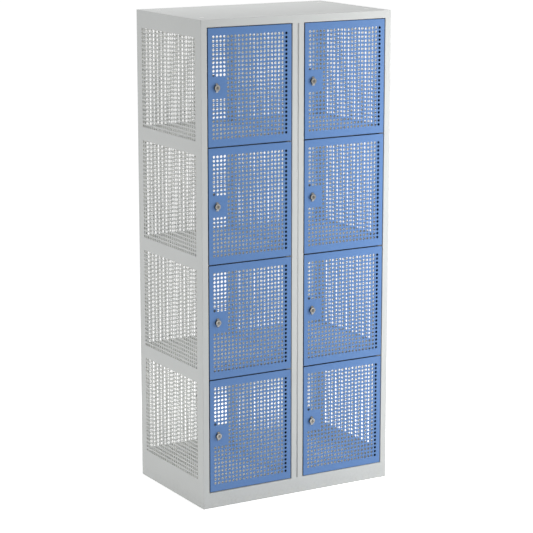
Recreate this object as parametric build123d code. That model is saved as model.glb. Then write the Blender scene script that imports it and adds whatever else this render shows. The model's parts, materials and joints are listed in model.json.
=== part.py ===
"""Compartment locker: a perforated sheet cabinet with two columns of four hinged, locked doors.

Millimetres. The origin is on the ground, midway between the sides and between the front and the back.
X runs to the right, Y to the back and Z up, and the doors face -Y.
"""

import os
from math import pi

from build123d import *

# Cabinet
WIDTH = 800.0
DEPTH = 500.0
HEIGHT = 1800.0
TIER_COUNT = 4
COLUMN_SIDES = {"left": -1, "right": 1}
SHEET = 1.0
BEND_RADIUS = 2.0

# Front frame: how wide each member looks from the front, and how deep its folds run
STILE_WIDTH = 25.0
POST_WIDTH = 50.0
TOP_RAIL_HEIGHT = 28.0
PLINTH_HEIGHT = 60.0
FRAME_DEPTH = 18.0
FRAME_LIP = 12.0
POST_GROOVE_WIDTH = 3.0
POST_GROOVE_DEPTH = 3.5
POST_GROOVE_BEND = 1.0

# Perforation: margins run from a sheet's edge to the centres of the outermost holes, at the least
WALL_HOLE_DIAMETER = 12.0
DOOR_HOLE_DIAMETER = 10.0
HOLE_PITCH = 15.0
COLUMNS_PER_SLOT = 2
FIELD_FRONT_MARGIN = 50.0
FIELD_REAR_MARGIN = 40.0
FIELD_OUTER_MARGIN = 40.0
FIELD_INNER_MARGIN = 30.0
FIELD_LEVEL_MARGIN = 25.0
DOOR_FIELD_SIDE_MARGIN = 20.0
DOOR_FIELD_END_MARGIN = 30.0

# Levels inside: plain sheet below the lowest field and above the highest, then shelves and floor
LEVEL_FOOT = 80.0
LEVEL_HEAD = 40.0
SHELF_RISE = 16.0
SHELF_FLANGE = 15.0
SHELF_SETBACK = 21.0
FLOOR_DROP = 14.0
FLOOR_FLANGE = 15.0
ROOF_FLANGE = 15.0

# Doors
DOOR_SIDE_GAP = 2.5
DOOR_TIER_GAP = 3.0
DOOR_SHEET = 1.0
DOOR_PAN_DEPTH = 15.0
STIFFENER_SHEET = 1.0
STIFFENER_DEPTH = 12.0
STIFFENER_HOLE_MARGIN = 0.5

# Hinges: the pivot line lies inside the door pan, near its right edge
PIVOT_EDGE_INSET = 10.0
PIVOT_FACE_INSET = 6.0
PIVOT_PIN_DIAMETER = 5.5
PIVOT_CLEARANCE = 0.08
PIVOT_PIN_REACH = 8.0
BRACKET_THICKNESS = 1.4
BRACKET_WIDTH = 8.0
BRACKET_TAIL = 5.0
COLLAR_DIAMETER = 8.0
COLLAR_RUNNING_GAP = 0.2
RIVET_HEAD_HEIGHT = 1.5

# Locks
LOCK_EDGE_INSET = 35.0
PLAIN_PLATE_ROWS = 5
PLAIN_PLATE_COLUMNS = 4
LOCK_FACE_DIAMETER = 22.0
LOCK_FACE_STAND = 8.5
LOCK_FACE_ROUNDING = 1.5
LUG_WIDTH = 10.0
LUG_ABOVE = 16.0
LUG_BELOW = 18.0
LUG_STAND = 6.0
LUG_BEVEL = 4.5
LOCK_BODY_DIAMETER = 18.0
LOCK_BODY_CLEARANCE = 0.1
LOCK_BODY_END = 18.6
NUT_ACROSS_FLATS = 23.0
NUT_THICKNESS = 4.0
PLUG_DIAMETER = 12.0
PLUG_CLEARANCE = 0.08
PLUG_SINK = 0.6
PLUG_TAIL = 7.0
PLUG_HEAD_DIAMETER = 10.0
PLUG_HEAD_HEIGHT = 1.2
KEYWAY_WIDTH = 1.8
KEYWAY_LENGTH = 8.0
KEYWAY_DEPTH = 8.0
CAM_THICKNESS = 2.0
CAM_WIDTH = 14.0
CAM_REACH = 44.0
CAM_SEAT_GAP = 0.3
CAM_TAIL_CLEARANCE = 0.05
CAM_END_ROUNDING = 4.0

# Plugs in the roof
CAP_HEAD_DIAMETER = 18.0
CAP_HEAD_HEIGHT = 1.6
CAP_HEAD_ROUNDING = 1.0
CAP_STEM_DIAMETER = 10.0
CAP_STEM_LENGTH = 6.0
CAP_CLEARANCE = 0.1
CAP_SIDE_INSET = 52.0
CAP_FRONT_INSET = 88.0
CAP_REAR_INSET = 77.0

# One overrun serves every cut that has to pass right through
OVERRUN = 1.0

# Places worked out from the sizes above
LEFT = -WIDTH / 2
RIGHT = WIDTH / 2
FRONT = -DEPTH / 2
BACK = DEPTH / 2
SIDE_INNER = RIGHT - SHEET
BACK_INNER = BACK - SHEET
ROOF_UNDER = HEIGHT - SHEET
FRAME_BACK = FRONT + FRAME_DEPTH
SHELF_FRONT = FRONT + SHELF_SETBACK
RAIL_UNDER = HEIGHT - TOP_RAIL_HEIGHT
OPENING_WIDTH = (WIDTH - POST_WIDTH) / 2 - STILE_WIDTH
OPENING_HEIGHT = RAIL_UNDER - PLINTH_HEIGHT
COLUMN_CENTRE = (OPENING_WIDTH + POST_WIDTH) / 2
TIER_PITCH = OPENING_HEIGHT / TIER_COUNT
FLOOR_HEIGHT = PLINTH_HEIGHT - FLOOR_DROP
LEVEL_PITCH = (HEIGHT - LEVEL_FOOT - LEVEL_HEAD) / TIER_COUNT
DOOR_WIDTH = OPENING_WIDTH - 2 * DOOR_SIDE_GAP
DOOR_HEIGHT = TIER_PITCH - DOOR_TIER_GAP
CAM_SEAT = LOCK_BODY_END + CAM_SEAT_GAP

# Sheets standing across the width are drawn in x and z, sheets along the depth in y and z
ACROSS = Plane(origin=(0, 0, 0), x_dir=(1, 0, 0), z_dir=(0, -1, 0))
ALONG = Plane(origin=(0, 0, 0), x_dir=(0, 1, 0), z_dir=(1, 0, 0))
LEVEL = Plane(origin=(0, 0, 0), x_dir=(1, 0, 0), z_dir=(0, 0, 1))


def rectangle(low_x, high_x, low_y, high_y):
    """Rectangle between two corners."""
    centre = Pos((low_x + high_x) / 2, (low_y + high_y) / 2)
    return centre * Rectangle(high_x - low_x, high_y - low_y)


def sheet(profile, plane, start, thickness):
    """Flat profile on a plane, moved to its start along the plane's normal and made that thick."""
    return extrude(plane.offset(start) * profile, amount=thickness)


def folded(outer_line, radii=BEND_RADIUS, thickness=SHEET):
    """Section of a folded sheet: its outer line with round bends, and its inner face on the left."""
    line = FilletPolyline(*outer_line, radius=radii)
    return make_face(offset(line, amount=thickness, side=Side.LEFT))


def holes_across(length, margins):
    """How many holes at the common pitch fit a length, once its margins are taken off."""
    return int((length - margins) / HOLE_PITCH) + 1


def field_slots(columns, rows, diameter):
    """Tall slots that stand for a field of round holes, centred on the origin.

    A slot's width is the area of the holes across it over their pitch, so the same share of sheet is left.
    """
    count = (columns + COLUMNS_PER_SLOT - 1) // COLUMNS_PER_SLOT
    width = COLUMNS_PER_SLOT * pi * (diameter / 2) ** 2 / HOLE_PITCH
    height = (rows - 1) * HOLE_PITCH + diameter
    grid = GridLocations(COLUMNS_PER_SLOT * HOLE_PITCH, 0, count, 1)
    return [place * Rectangle(width, height) for place in grid]


def level_slots(middle, columns):
    """Slots of the perforated fields of all levels, one above the other."""
    rows = holes_across(LEVEL_PITCH, 2 * FIELD_LEVEL_MARGIN)
    first = LEVEL_FOOT + LEVEL_PITCH / 2
    return [
        Pos(middle, first + level * LEVEL_PITCH) * slot
        for level in range(TIER_COUNT)
        for slot in field_slots(columns, rows, WALL_HOLE_DIAMETER)
    ]


def door_bottom(tier):
    """Z of the lower edge of a tier's doors, counted from the ground up."""
    return PLINTH_HEIGHT + tier * TIER_PITCH + DOOR_TIER_GAP / 2


def door_left(side):
    """X of the left edge of a column's doors."""
    return side * COLUMN_CENTRE - DOOR_WIDTH / 2


def pivot_x(side):
    """X of the pivot line of a column's doors."""
    return door_left(side) + DOOR_WIDTH - PIVOT_EDGE_INSET


def upright(x, y, bottom, diameter, height):
    """Upright cylinder on its lower face."""
    return extrude(Pos(x, y, bottom) * Circle(diameter / 2), amount=height)


def on_pivot(side, bottom, diameter, height):
    """Upright cylinder on a column's pivot line."""
    return upright(pivot_x(side), FRONT + PIVOT_FACE_INSET, bottom, diameter, height)


def wall_slots():
    """Slots of a wall that runs along the depth."""
    columns = holes_across(DEPTH, FIELD_FRONT_MARGIN + FIELD_REAR_MARGIN)
    middle = FRONT + FIELD_FRONT_MARGIN + (columns - 1) * HOLE_PITCH / 2
    return level_slots(middle, columns)


def side_panels():
    """Outer walls, flush with the frame, from the stiles' folds to the back panel."""
    wall = rectangle(FRAME_BACK, BACK_INNER, 0, ROOF_UNDER) - wall_slots()
    return sheet(wall, ALONG, LEFT, SHEET), sheet(wall, ALONG, SIDE_INNER, SHEET)


def centre_partition():
    """Wall between the columns, standing on the floor panel, its front edge between the post's lips."""
    wall = rectangle(FRAME_BACK, BACK_INNER, FLOOR_HEIGHT, ROOF_UNDER)
    wall += rectangle(FRAME_BACK - SHEET, FRAME_BACK, PLINTH_HEIGHT, RAIL_UNDER)
    return sheet(wall - wall_slots(), ALONG, -SHEET / 2, SHEET)


def back_panel():
    """One sheet across the whole back, with its fields behind each column."""
    columns = holes_across(RIGHT, FIELD_OUTER_MARGIN + FIELD_INNER_MARGIN)
    middle = RIGHT - FIELD_OUTER_MARGIN - (columns - 1) * HOLE_PITCH / 2
    panel = rectangle(LEFT, RIGHT, 0, ROOF_UNDER)
    for side in COLUMN_SIDES.values():
        panel -= level_slots(side * middle, columns)
    return sheet(panel, ACROSS, -BACK, SHEET)


def roof_panel():
    """Top sheet with a flange turned down inside each side and the back, and holes for the plugs."""
    top = sheet(rectangle(LEFT, RIGHT, FRONT, BACK), LEVEL, ROOF_UNDER, SHEET)
    rim = rectangle(-SIDE_INNER, SIDE_INNER, FRAME_BACK, BACK_INNER)
    rim -= rectangle(SHEET - SIDE_INNER, SIDE_INNER - SHEET, FRAME_BACK, BACK_INNER - SHEET)
    rim -= rectangle(-SHEET / 2, SHEET / 2, FRAME_BACK, BACK_INNER)
    flange = sheet(rim, LEVEL, ROOF_UNDER - ROOF_FLANGE, ROOF_FLANGE)
    hole = CAP_STEM_DIAMETER + 2 * CAP_CLEARANCE
    holes = [
        upright(x, y, ROOF_UNDER - OVERRUN, hole, SHEET + 2 * OVERRUN)
        for x, y in cap_places()
    ]
    return top + flange - holes


def cap_places():
    """Places of the four plugs in the roof."""
    x = RIGHT - CAP_SIDE_INSET
    rows = (FRONT + CAP_FRONT_INSET, BACK - CAP_REAR_INSET)
    return [(side * x, y) for side in (-1, 1) for y in rows]


def roof_caps():
    """Push-in plugs: a domed head on the roof and a stem through it."""
    caps = []
    for x, y in cap_places():
        head = upright(x, y, HEIGHT, CAP_HEAD_DIAMETER, CAP_HEAD_HEIGHT)
        head = fillet(head.edges().group_by(Axis.Z)[-1], CAP_HEAD_ROUNDING)
        stem = upright(x, y, HEIGHT - CAP_STEM_LENGTH, CAP_STEM_DIAMETER, CAP_STEM_LENGTH)
        caps.append(head + stem)
    return Compound(caps)


def stiles():
    """Channels at both front corners: fold in the side, front face, fold beside the door, lip behind."""
    outer_line = [
        (LEFT, FRAME_BACK),
        (LEFT, FRONT),
        (LEFT + STILE_WIDTH, FRONT),
        (LEFT + STILE_WIDTH, FRAME_BACK),
        (LEFT + STILE_WIDTH - FRAME_LIP, FRAME_BACK),
    ]
    left = extrude(folded(outer_line), amount=ROOF_UNDER)
    return left, mirror(left, about=Plane.YZ)


def centre_post():
    """Channel between the columns, grooved down its middle, its lips closed on the partition."""
    half = POST_WIDTH / 2
    groove = POST_GROOVE_WIDTH / 2
    left_line = [
        (-SHEET / 2, FRAME_BACK),
        (-half, FRAME_BACK),
        (-half, FRONT),
        (-groove, FRONT),
        (-groove, FRONT + POST_GROOVE_DEPTH),
    ]
    outer_line = left_line + [(-x, y) for x, y in reversed(left_line)]
    side_radii = [BEND_RADIUS, BEND_RADIUS, BEND_RADIUS, POST_GROOVE_BEND]
    section = folded(outer_line, side_radii + side_radii[::-1])
    return extrude(Pos(0, 0, PLINTH_HEIGHT) * section, amount=OPENING_HEIGHT)


def rail(outer_line):
    """Channel across the width between the stiles, from its outer line in y and z."""
    length = WIDTH - 2 * STILE_WIDTH
    return sheet(folded(outer_line), ALONG, -length / 2, length)


def top_rail():
    """Channel over the doors: flange under the roof, front face, fold over the doors, lip behind."""
    outer_line = [
        (FRAME_BACK, ROOF_UNDER),
        (FRONT, ROOF_UNDER),
        (FRONT, RAIL_UNDER),
        (FRAME_BACK, RAIL_UNDER),
        (FRAME_BACK, RAIL_UNDER + FRAME_LIP),
    ]
    bores = [
        on_pivot(side, RAIL_UNDER - OVERRUN, PIVOT_PIN_DIAMETER, SHEET + 2 * OVERRUN)
        for side in COLUMN_SIDES.values()
    ]
    return rail(outer_line) - bores


def plinth():
    """Channel under the doors: foot flange, front face, fold under the doors, lip down to the floor."""
    outer_line = [
        (FRAME_BACK, FLOOR_HEIGHT),
        (FRAME_BACK, PLINTH_HEIGHT),
        (FRONT, PLINTH_HEIGHT),
        (FRONT, 0),
        (FRAME_BACK, 0),
    ]
    bores = [
        on_pivot(side, PLINTH_HEIGHT - SHEET - OVERRUN, PIVOT_PIN_DIAMETER, SHEET + 2 * OVERRUN)
        for side in COLUMN_SIDES.values()
    ]
    return rail(outer_line) - bores


def tray(low_x, high_x, low_y, top, flange):
    """Shelf or floor: a flat sheet that reaches the back panel, its four edges folded down."""
    outer = rectangle(low_x, high_x, low_y, BACK_INNER)
    inner = rectangle(low_x + SHEET, high_x - SHEET, low_y + SHEET, BACK_INNER - SHEET)
    solid = sheet(outer, LEVEL, top - flange, flange)
    return solid - sheet(inner, LEVEL, top - flange - OVERRUN, flange - SHEET + OVERRUN)


def floor_panel():
    """Floor of the lowest compartments, in one piece behind the plinth."""
    return tray(-SIDE_INNER, SIDE_INNER, FRAME_BACK, FLOOR_HEIGHT, FLOOR_FLANGE)


def shelf(side, level):
    """Shelf between two compartments, from the outer wall to the partition."""
    low_x, high_x = sorted((side * SHEET / 2, side * SIDE_INNER))
    top = LEVEL_FOOT + (level + 1) * LEVEL_PITCH + SHELF_RISE
    return tray(low_x, high_x, SHELF_FRONT, top, SHELF_FLANGE)


def hinge_bracket(side, tier):
    """Tab in the gap over a door, from the frame's fold to past the pivot line, with pins both ways."""
    y = FRONT + PIVOT_FACE_INSET
    half = BRACKET_WIDTH / 2
    gap_bottom = door_bottom(tier) + DOOR_HEIGHT
    gap_top = gap_bottom + DOOR_TIER_GAP
    tab_bottom = gap_bottom + (DOOR_TIER_GAP - BRACKET_THICKNESS) / 2
    tail_x = pivot_x(side) - BRACKET_TAIL
    fold_x = door_left(side) + DOOR_WIDTH + DOOR_SIDE_GAP
    outline = rectangle(tail_x, fold_x, y - half, y + half) + Pos(tail_x, y) * Circle(half)
    tab = extrude(Pos(0, 0, tab_bottom) * outline, amount=BRACKET_THICKNESS)
    pin_length = DOOR_TIER_GAP + 2 * PIVOT_PIN_REACH
    pins = on_pivot(side, gap_bottom - PIVOT_PIN_REACH, PIVOT_PIN_DIAMETER, pin_length)
    collar = on_pivot(side, tab_bottom, COLLAR_DIAMETER, gap_top - COLLAR_RUNNING_GAP - tab_bottom)
    return tab + pins + collar


def hinge_brackets():
    """All brackets between doors."""
    return Compound([
        hinge_bracket(side, tier)
        for side in COLUMN_SIDES.values()
        for tier in range(TIER_COUNT - 1)
    ])


def lower_end_pin(side):
    """Pin riveted into the plinth's upper fold, with the collar that carries the lowest door."""
    gap = DOOR_TIER_GAP / 2
    pin = on_pivot(side, PLINTH_HEIGHT - SHEET, PIVOT_PIN_DIAMETER, SHEET + gap + PIVOT_PIN_REACH)
    pin += on_pivot(side, PLINTH_HEIGHT, COLLAR_DIAMETER, gap - COLLAR_RUNNING_GAP)
    return pin + on_pivot(side, PLINTH_HEIGHT - SHEET - RIVET_HEAD_HEIGHT, COLLAR_DIAMETER, RIVET_HEAD_HEIGHT)


def upper_end_pin(side):
    """Pin riveted into the top rail's lower fold."""
    pin_bottom = RAIL_UNDER - DOOR_TIER_GAP / 2 - PIVOT_PIN_REACH
    pin = on_pivot(side, pin_bottom, PIVOT_PIN_DIAMETER, RAIL_UNDER + SHEET - pin_bottom)
    return pin + on_pivot(side, RAIL_UNDER + SHEET, COLLAR_DIAMETER, RIVET_HEAD_HEIGHT)


def end_pins():
    """The pins at the plinth and at the top rail."""
    return Compound([pin(side) for side in COLUMN_SIDES.values() for pin in (lower_end_pin, upper_end_pin)])


def door_pan():
    """Folded pan, open at the back, with rounded bends, centred on the origin."""
    hollow_depth = DOOR_PAN_DEPTH - DOOR_SHEET + OVERRUN
    outer = Box(DOOR_WIDTH, DOOR_PAN_DEPTH, DOOR_HEIGHT)
    outer = fillet(outer.edges().group_by(Axis.Y)[0], BEND_RADIUS)
    hollow = Box(DOOR_WIDTH - 2 * DOOR_SHEET, hollow_depth, DOOR_HEIGHT - 2 * DOOR_SHEET)
    hollow = fillet(hollow.edges().group_by(Axis.Y)[0], BEND_RADIUS - DOOR_SHEET)
    return outer - Pos(0, (DOOR_SHEET + OVERRUN) / 2, 0) * hollow


def door_field():
    """Columns and rows of holes that a door has."""
    columns = holes_across(DOOR_WIDTH, 2 * DOOR_FIELD_SIDE_MARGIN)
    return columns, holes_across(DOOR_HEIGHT, 2 * DOOR_FIELD_END_MARGIN)


def door_leaf(side, tier):
    """Pan with its slots, the plain plate round the lock, the lock's hole and the pivots' holes."""
    middle_x = side * COLUMN_CENTRE
    bottom = door_bottom(tier)
    middle_z = bottom + DOOR_HEIGHT / 2
    columns, rows = door_field()
    plate_right = middle_x - (columns - 2 * PLAIN_PLATE_COLUMNS) * HOLE_PITCH / 2
    plate_half = ((PLAIN_PLATE_ROWS + 1) * HOLE_PITCH - DOOR_HOLE_DIAMETER) / 2
    plate = rectangle(door_left(side), plate_right, middle_z - plate_half, middle_z + plate_half)
    slots = field_slots(columns, rows, DOOR_HOLE_DIAMETER)
    openings = [Pos(middle_x, middle_z) * slot - plate for slot in slots]
    lock_hole = Circle(LOCK_BODY_DIAMETER / 2 + LOCK_BODY_CLEARANCE)
    openings.append(Pos(door_left(side) + LOCK_EDGE_INSET, middle_z) * lock_hole)
    cut_start = -FRONT - DOOR_SHEET - OVERRUN
    cuts = [sheet(opening, ACROSS, cut_start, DOOR_SHEET + 2 * OVERRUN) for opening in openings]
    bore_diameter = PIVOT_PIN_DIAMETER + 2 * PIVOT_CLEARANCE
    cuts.append(on_pivot(side, bottom - OVERRUN, bore_diameter, DOOR_HEIGHT + 2 * OVERRUN))
    return Pos(middle_x, FRONT + DOOR_PAN_DEPTH / 2, middle_z) * door_pan() - cuts


def stiffener(side, tier):
    """Folded channel that closes a box behind the last column of holes, where the pivots enter."""
    columns, _ = door_field()
    last_hole = side * COLUMN_CENTRE + (columns - 1) * HOLE_PITCH / 2
    web = last_hole - DOOR_HOLE_DIAMETER / 2 - STIFFENER_HOLE_MARGIN - STIFFENER_SHEET
    inner_edge = door_left(side) + DOOR_WIDTH - DOOR_SHEET
    outer_line = [
        (inner_edge, FRONT + BEND_RADIUS),
        (inner_edge, FRONT + STIFFENER_DEPTH),
        (web, FRONT + STIFFENER_DEPTH),
        (web, FRONT + DOOR_SHEET),
    ]
    section = folded(outer_line, thickness=STIFFENER_SHEET)
    start = Pos(0, 0, door_bottom(tier) + BEND_RADIUS)
    return extrude(start * section, amount=DOOR_HEIGHT - 2 * BEND_RADIUS)


def lock_axis(side, tier):
    """Plane on a lock's axis: its origin in the front face, its normal towards the back, its Y down."""
    x = door_left(side) + LOCK_EDGE_INSET
    return Plane(origin=(x, FRONT, door_bottom(tier) + DOOR_HEIGHT / 2), x_dir=(1, 0, 0), z_dir=(0, 1, 0))


def lock_lugs(axis):
    """Bar across the back of a lock's face, its ends bevelled down to the door above and below."""
    outline = rectangle(-LUG_WIDTH / 2, LUG_WIDTH / 2, -LUG_ABOVE, LUG_BELOW)
    bar = sheet(outline, axis, -LUG_STAND, LUG_STAND)
    return chamfer(bar.edges().filter_by(Axis.X).group_by(Axis.Y)[0], LUG_BEVEL)


def lock_case(side, tier):
    """Turned case with a proud rounded face, two lugs and a bore for the plug, and its clamping nut."""
    axis = lock_axis(side, tier)
    face = sheet(Circle(LOCK_FACE_DIAMETER / 2), axis, -LOCK_FACE_STAND, LOCK_FACE_STAND)
    face = fillet(face.edges().group_by(Axis.Y)[0], LOCK_FACE_ROUNDING) + lock_lugs(axis)
    body = sheet(Circle(LOCK_BODY_DIAMETER / 2), axis, 0, LOCK_BODY_END)
    bore_length = LOCK_FACE_STAND + LOCK_BODY_END + 2 * OVERRUN
    bore = sheet(Circle(PLUG_DIAMETER / 2 + PLUG_CLEARANCE), axis, -LOCK_FACE_STAND - OVERRUN, bore_length)
    nut_profile = RegularPolygon(NUT_ACROSS_FLATS / 2, 6, major_radius=False)
    nut_profile -= Circle(LOCK_BODY_DIAMETER / 2)
    nut = sheet(nut_profile, axis, DOOR_SHEET, NUT_THICKNESS)
    return Compound([face + body - bore, nut])


def lock_plug(side, tier):
    """Core that the key turns: round body with a keyway, square tail and peened head behind the cam."""
    axis = lock_axis(side, tier)
    start = PLUG_SINK - LOCK_FACE_STAND
    body = sheet(Circle(PLUG_DIAMETER / 2), axis, start, CAM_SEAT - start)
    tail = sheet(Rectangle(PLUG_TAIL, PLUG_TAIL), axis, CAM_SEAT, CAM_THICKNESS)
    head = sheet(Circle(PLUG_HEAD_DIAMETER / 2), axis, CAM_SEAT + CAM_THICKNESS, PLUG_HEAD_HEIGHT)
    keyway = sheet(Rectangle(KEYWAY_WIDTH, KEYWAY_LENGTH), axis, start - OVERRUN, KEYWAY_DEPTH + OVERRUN)
    return body + tail + head - keyway


def lock_cam(side, tier):
    """Flat bar on the plug's tail, standing up behind the door while the door is unlocked."""
    heel = CAM_WIDTH / 2
    bar = Pos(0, (heel - CAM_REACH) / 2) * Rectangle(CAM_WIDTH, CAM_REACH + heel)
    bar = fillet(bar.vertices(), CAM_END_ROUNDING)
    hole = PLUG_TAIL + 2 * CAM_TAIL_CLEARANCE
    bar -= Rectangle(hole, hole)
    return sheet(bar, lock_axis(side, tier), CAM_SEAT, CAM_THICKNESS)


def build():
    """Every piece of the locker by its name."""
    left_side, right_side = side_panels()
    left_stile, right_stile = stiles()
    pieces = {
        "left_side_panel": left_side,
        "right_side_panel": right_side,
        "centre_partition": centre_partition(),
        "back_panel": back_panel(),
        "roof_panel": roof_panel(),
        "roof_caps": roof_caps(),
        "floor_panel": floor_panel(),
        "left_stile": left_stile,
        "right_stile": right_stile,
        "centre_post": centre_post(),
        "top_rail": top_rail(),
        "plinth": plinth(),
        "hinge_brackets": hinge_brackets(),
        "hinge_end_pins": end_pins(),
    }
    for column, side in COLUMN_SIDES.items():
        for level in range(TIER_COUNT - 1):
            pieces[f"shelf_{column}_{level + 1}"] = shelf(side, level)
        for tier in range(TIER_COUNT):
            place = f"{column}_{tier + 1}"
            pieces[f"door_leaf_{place}"] = door_leaf(side, tier)
            pieces[f"door_stiffener_{place}"] = stiffener(side, tier)
            pieces[f"lock_case_{place}"] = lock_case(side, tier)
            pieces[f"lock_plug_{place}"] = lock_plug(side, tier)
            pieces[f"lock_cam_{place}"] = lock_cam(side, tier)
    return pieces


os.makedirs("parts", exist_ok=True)
for node, shape in build().items():
    export_step(shape, f"parts/{node}.step")
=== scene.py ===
import json
import math

import bpy
import numpy as np
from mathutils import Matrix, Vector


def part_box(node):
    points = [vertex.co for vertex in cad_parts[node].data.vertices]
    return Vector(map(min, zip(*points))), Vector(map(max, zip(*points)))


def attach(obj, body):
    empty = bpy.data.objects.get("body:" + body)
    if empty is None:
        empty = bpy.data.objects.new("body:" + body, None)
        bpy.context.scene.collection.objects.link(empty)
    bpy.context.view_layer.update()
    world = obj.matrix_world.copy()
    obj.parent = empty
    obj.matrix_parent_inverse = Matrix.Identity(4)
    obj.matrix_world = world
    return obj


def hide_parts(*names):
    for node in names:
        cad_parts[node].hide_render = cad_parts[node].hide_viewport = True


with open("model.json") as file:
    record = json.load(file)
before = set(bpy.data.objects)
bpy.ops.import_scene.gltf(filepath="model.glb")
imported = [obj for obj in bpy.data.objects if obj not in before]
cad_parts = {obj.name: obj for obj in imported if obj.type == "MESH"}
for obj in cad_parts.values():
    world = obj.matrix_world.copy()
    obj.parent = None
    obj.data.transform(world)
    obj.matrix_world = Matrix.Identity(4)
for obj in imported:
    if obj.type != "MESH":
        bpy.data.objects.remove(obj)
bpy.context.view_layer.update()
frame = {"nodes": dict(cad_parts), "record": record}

# Sizes in metres and counts, the same as in the CAD part
MM = 0.001
SHEET = 1 * MM
BEND_RADIUS = 2 * MM
WALL_HOLE_RADIUS = 6 * MM
DOOR_HOLE_RADIUS = 5 * MM
HOLE_PITCH = 15 * MM
TIERS = 4
LEVEL_PITCH = 420 * MM
LEVEL_ROWS = 25
LOWEST_ROW = 110 * MM
WALL_COLUMNS = 28
WALL_FIRST_COLUMN = 50 * MM
BACK_COLUMNS = 23
BACK_FIRST_COLUMN = 40 * MM
DOOR_COLUMNS = 21
DOOR_ROWS = 25
PLATE_COLUMNS = 4
PLATE_ROWS = 5
SIDES = ("left", "right")

# Facets of round shapes
WALL_HOLE_SIDES = 12
DOOR_HOLE_SIDES = 16
TURNED_SIDES = 48
TURNED_ANGLES = np.arange(TURNED_SIDES) * 2 * math.pi / TURNED_SIDES
BEND_STEPS = 4
LOCK_EDGE_STEPS = 4
DOME_STEPS = 6

# How far a face is drawn dark, from 0 to 1: a little at cuts, and painted shade inside boxes and keyways
# and on the doors' bends and folds in the gaps
DARKENED_AT_CUT = 0.15
PAINTED_SHADE_INSIDE = 1.0
PAINTED_SHADE_BEND = (0.05, 0.35, 0.75, 0.95)
PAINTED_SHADE_FOLD = 0.9

# Painted shade and painted dark reflection on a lock's plate, from 0 to 1: collar, face, lug and plug
PAINTED_SHADE_COLLAR = 0.95
PAINTED_SHADE_FACE = 0.33
PAINTED_SHADE_LUG = 0.45
PAINTED_SHADE_PLUG = 0.6

# A surface's width, height and depth, for what is upright and for what runs across
X_AXIS, Y_AXIS, Z_AXIS = np.eye(3)
UPRIGHT = (X_AXIS, Z_AXIS, Y_AXIS)
ACROSS = (Y_AXIS, X_AXIS, Z_AXIS)


class Surface:
    """Points and faces gathered as whole arrays, in a frame of width, height and depth.

    Depth runs into the surface, and faces run anticlockwise where the width and height are seen upright.
    """

    def __init__(self):
        self.points, self.faces, self.count = [], [], 0

    def add_points(self, points):
        """Adds points and returns the numbers that they get, in the same arrangement."""
        points = np.asarray(points, float)
        numbers = self.count + np.arange(points[..., 0].size).reshape(points.shape[:-1])
        self.points.append(points.reshape(-1, 3))
        self.count += numbers.size
        return numbers

    def add_faces(self, faces, smooth=False, bare=0.0):
        """Adds faces of one number of corners. Darkening says how far they are drawn dark, from 0 to 1:
        painted shade, or a slight darkening at cuts.
        """
        if len(faces):
            self.faces.append((np.asarray(faces), smooth, bare))

    def join(self, first, second, smooth=False, bare=0.0):
        """Adds the faces between two closed loops. Where a loop repeats a point, the face is a triangle."""
        next_first, next_second = np.roll(first, -1), np.roll(second, -1)
        first_moves, second_moves = first != next_first, second != next_second
        quads = np.stack([first, second, next_second, next_first], -1)
        self.add_faces(quads[first_moves & second_moves], smooth, bare)
        self.add_faces(quads[first_moves & ~second_moves][:, [0, 1, 3]], smooth, bare)
        self.add_faces(quads[~first_moves & second_moves][:, :3], smooth, bare)

    def object(self, name, origin, axes):
        """Makes the object: at the world's origin, with its place in its mesh."""
        axes = np.asarray(axes, float)
        mirrored = np.linalg.det(axes) > 0
        points = np.asarray(origin, float) + np.concatenate(self.points) @ axes
        faces = [face[:, ::-1] if mirrored else face for face, _, _ in self.faces]
        sizes = np.concatenate([np.full(len(face), face.shape[1]) for face in faces])
        smooth = np.concatenate([np.full(len(face), flag) for face, flag, _ in self.faces])
        bare = np.concatenate([np.full(len(face), share, float) for face, _, share in self.faces])
        corners = np.concatenate([face.ravel() for face in faces])
        mesh = bpy.data.meshes.new(name)
        mesh.vertices.add(len(points))
        mesh.vertices.foreach_set("co", points.ravel())
        mesh.loops.add(len(corners))
        mesh.loops.foreach_set("vertex_index", corners)
        mesh.polygons.add(len(sizes))
        mesh.polygons.foreach_set("loop_start", np.cumsum(sizes) - sizes)
        mesh.polygons.foreach_set("use_smooth", smooth)
        mesh.update(calc_edges=True)
        mesh.attributes.new("bare", "FLOAT", "FACE").data.foreach_set("value", bare)
        made = bpy.data.objects.new(name, mesh)
        bpy.context.scene.collection.objects.link(made)
        return made


def middle(low, high):
    """Middle of a box, across and up."""
    return (low.x + high.x) / 2, (low.z + high.z) / 2


def cell_borders(low, high, first_holes, count):
    """Borders of the cells along one direction, and which of those cells are in line with holes.

    The first and the last cell, and those between two fields, are plain.
    """
    borders, holed = [low], []
    for first in first_holes:
        start = first - HOLE_PITCH / 2
        borders += [start + k * HOLE_PITCH for k in range(count + 1)]
        holed += [False] + [True] * count
    return np.array(borders + [high]), np.array(holed + [False])


def cell_corners(grid, i, j):
    """The corners of some cells, anticlockwise from the lower left one."""
    return [grid[i, j], grid[i + 1, j], grid[i + 1, j + 1], grid[i, j + 1]]


def add_side(surface, grid, ring, holed, turned_over):
    """Adds one side of a perforated sheet: plain cells whole, and a face for each quarter round a hole."""
    faces = [np.stack(cell_corners(grid, *np.nonzero(~holed)), -1)]
    corners = cell_corners(grid, *np.nonzero(holed))
    from_upper_right = corners[2:] + corners[:2]
    sides = ring.shape[1]
    quarter = sides // 4
    for k in range(4):
        arc = [ring[:, (k * quarter + step) % sides] for step in range(quarter, -1, -1)]
        faces.append(np.stack([from_upper_right[k], from_upper_right[(k + 1) % 4], *arc], -1))
    for face in faces:
        surface.add_faces(face[:, ::-1] if turned_over else face)


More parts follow.
